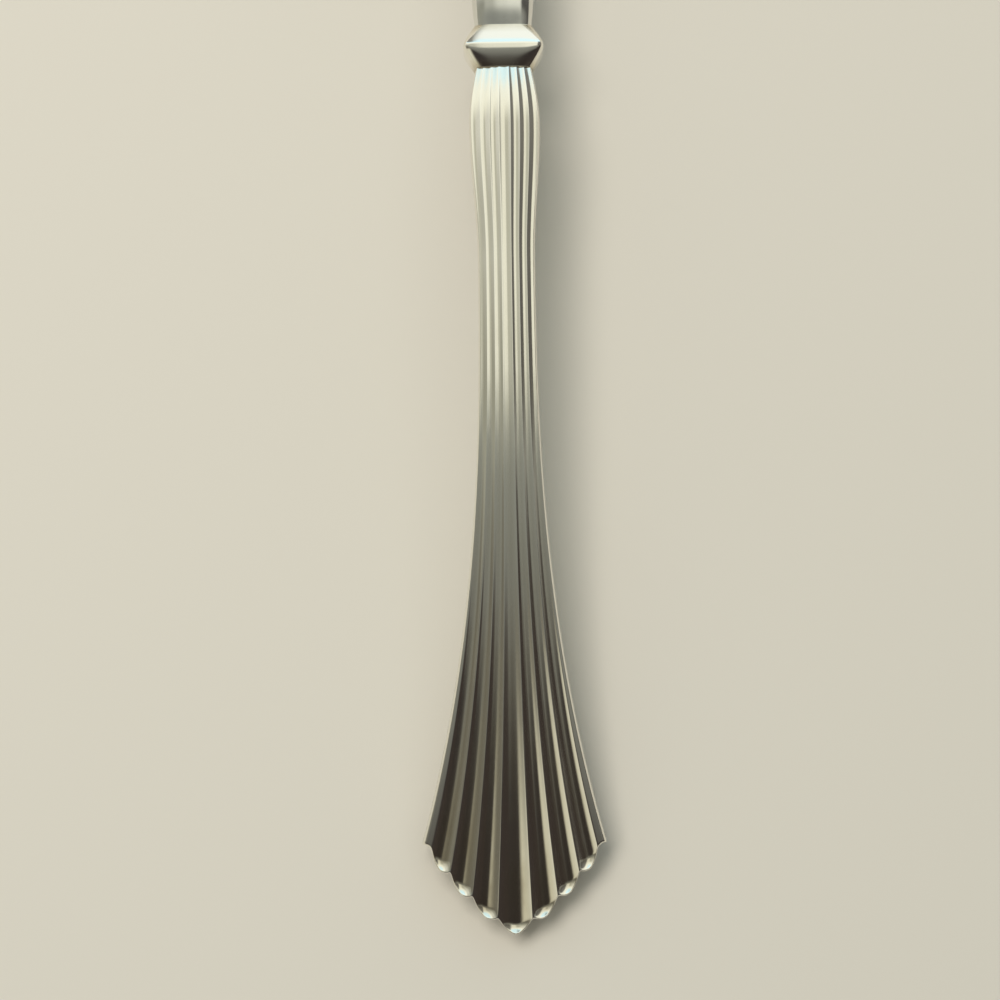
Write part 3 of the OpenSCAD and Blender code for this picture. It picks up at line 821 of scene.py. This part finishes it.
def studio_world():
    """A soft studio as the metal mirrors it: cards of light that are laid over one another by direction,
    as linear red, green and blue. The ceiling is dark towards the handle's tip. A pale panel hangs over
    the spoon, with a bright window on the bowl's side, a pale screen to the left and a dark one to the
    right, and smaller cards stand beside the tip and the window. The camera sees a plain backdrop."""
    world = bpy.data.worlds.new("studio")
    bpy.context.scene.world = world
    world.use_nodes = True
    tree = world.node_tree
    tree.nodes.clear()
    direction = add_node(tree, "ShaderNodeTexCoord").outputs["Generated"]

    def towards(axis, low, high):
        """How far a direction reaches along an axis, from 0 at one value to 1 at another."""
        reach = add_node(tree, "ShaderNodeVectorMath", {0: direction, 1: axis}, operation="DOT_PRODUCT")
        return add_node(tree, "ShaderNodeMapRange", {
            "Value": reach.outputs["Value"], "From Min": low, "From Max": high}).outputs["Result"]

    def over(base, cover, share):
        """One colour laid over another by a share. Sockets 6 and 7 take the two colours."""
        blend = add_node(tree, "ShaderNodeMix", {"Factor": share, 6: base, 7: cover}, data_type="RGBA")
        return blend.outputs[2]

    def both(one, other):
        """Where two shares hold at once: their product."""
        return add_node(tree, "ShaderNodeMath", {0: one, 1: other}, operation="MULTIPLY").outputs[0]

    # Directions, as how far they reach towards a side
    left, right, bowl_side, tip_side = (-1, 0, 0), (1, 0, 0), (0, 1, 0), (0, -1, 0)
    front = towards(bowl_side, -0.17, -0.08)
    far_front = towards(bowl_side, -0.05, 0.2)
    near_back = towards(tip_side, 0.08, 0.18)
    back = towards(tip_side, 0.28, 0.36)
    far_back = towards(tip_side, 0.38, 0.46)
    at_left = towards(left, 0.46, 0.64)
    at_right = towards(right, 0.5, 0.62)
    low_left = towards(left, 0.68, 0.82)
    low_right = towards(right, 0.68, 0.8)
    before_window = both(front, towards(tip_side, -0.66, -0.58))
    beside_window = both(towards(left, 0.05, 0.3), towards(bowl_side, 0.62, 0.72))

    # Light
    olive, brown, cream = (0.16, 0.15, 0.12, 1), (0.045, 0.036, 0.032, 1), (0.7, 0.68, 0.55, 1)
    grey, backdrop = (0.26, 0.26, 0.23, 1), (0.62, 0.60, 0.56, 1)
    ceiling = add_node(tree, "ShaderNodeValToRGB", {"Fac": towards(bowl_side, -1, 1)}, stops=[
        (0.0, (0.42, 0.41, 0.38, 1)), (0.1, (0.24, 0.23, 0.21, 1)), (0.14, (0.04, 0.033, 0.031, 1)),
        (0.265, (0.035, 0.029, 0.027, 1)), (0.31, (0.19, 0.19, 0.17, 1)),
        (0.42, (0.27, 0.28, 0.25, 1))]).outputs["Color"]
    window = add_node(tree, "ShaderNodeValToRGB", {"Fac": towards(bowl_side, 0, 1)}, stops=[
        (0.42, (1.06, 1.07, 0.94, 1)), (0.55, (1.08, 1.1, 1.0, 1)), (0.6, (0.8, 1.12, 1.28, 1)),
        (0.78, (0.86, 1.14, 1.26, 1)), (0.88, (1.04, 1.09, 1.06, 1))]).outputs["Color"]
    panel = over((0.94, 0.94, 0.82, 1), (0.55, 0.55, 0.47, 1), towards(left, -0.05, 0.15))
    left_screen = over((0.33, 0.33, 0.27, 1), (0.72, 0.72, 0.65, 1), far_front)
    right_screen = over((0.09, 0.086, 0.078, 1), (0.2, 0.195, 0.18, 1), far_front)

    # Cards, each laid over those before it
    cards = [
        (olive, both(low_left, near_back)),
        (brown, both(low_right, near_back)),
        (olive, both(at_left, back)),
        (cream, both(at_left, far_back)),
        (brown, both(at_right, back)),
        (panel, front),
        (left_screen, both(at_left, front)),
        (window, towards(bowl_side, 0.3, 0.45)),
        (right_screen, both(at_right, before_window)),
        (grey, beside_window),
    ]
    studio = ceiling
    for card, share in cards:
        studio = over(studio, card, share)
    seen = add_node(tree, "ShaderNodeLightPath").outputs["Is Camera Ray"]
    background = add_node(tree, "ShaderNodeBackground", {
        "Color": over(studio, backdrop, seen), "Strength": 1})
    output = add_node(tree, "ShaderNodeOutputWorld")
    tree.links.new(background.outputs["Background"], output.inputs["Surface"])


def soft_light(name, place_m, size_m, watts, colour, mirrored):
    """A soft light at a place in metres, turned to the origin. Metal shows it where it is mirrored."""
    lamp = bpy.data.lights.new(name, "AREA")
    lamp.shape = "RECTANGLE"
    lamp.size, lamp.size_y = size_m
    lamp.energy = watts
    lamp.color = linear(colour)[:3]
    light = add_object(name, lamp)
    light.location = place_m
    x, y, z = place_m
    pitch = math.atan2(math.hypot(x, y), z)
    yaw = math.atan2(-x, y)
    light.rotation_euler = (-pitch, 0, yaw + math.pi)
    light.visible_camera = False
    light.visible_glossy = mirrored


# Camera: the photograph looks straight down at the handle from 450 mm, with a slight roll
CAMERA_Z = 450
FRAME_W = 133.56
FRAME_AT_Z = 10
CAMERA_XY = (-1.31, -48.96)
ROLL = math.radians(-0.83)


def photo_camera():
    """A camera that takes in FRAME_W millimetres at the height FRAME_AT_Z."""
    lens = bpy.data.cameras.new("camera")
    lens.sensor_width = 36
    lens.lens = lens.sensor_width * (CAMERA_Z - FRAME_AT_Z) / FRAME_W
    lens.clip_start = 0.01
    camera = add_object("camera", lens)
    camera.location = (CAMERA_XY[0] * MM, CAMERA_XY[1] * MM, CAMERA_Z * MM)
    camera.rotation_euler = (0, 0, ROLL)
    bpy.context.scene.camera = camera


pale_floor()
studio_world()
soft_light("window", place_m=(-0.4, 1.4, 0.5), size_m=(1.8, 0.8), watts=14, colour="#D8EAFF",
           mirrored=True)
soft_light("overhead", place_m=(-0.5, 0.5, 1.4), size_m=(0.9, 0.9), watts=27, colour="#FFF8EE",
           mirrored=False)
photo_camera()
bpy.context.scene.view_settings.view_transform = "Standard"
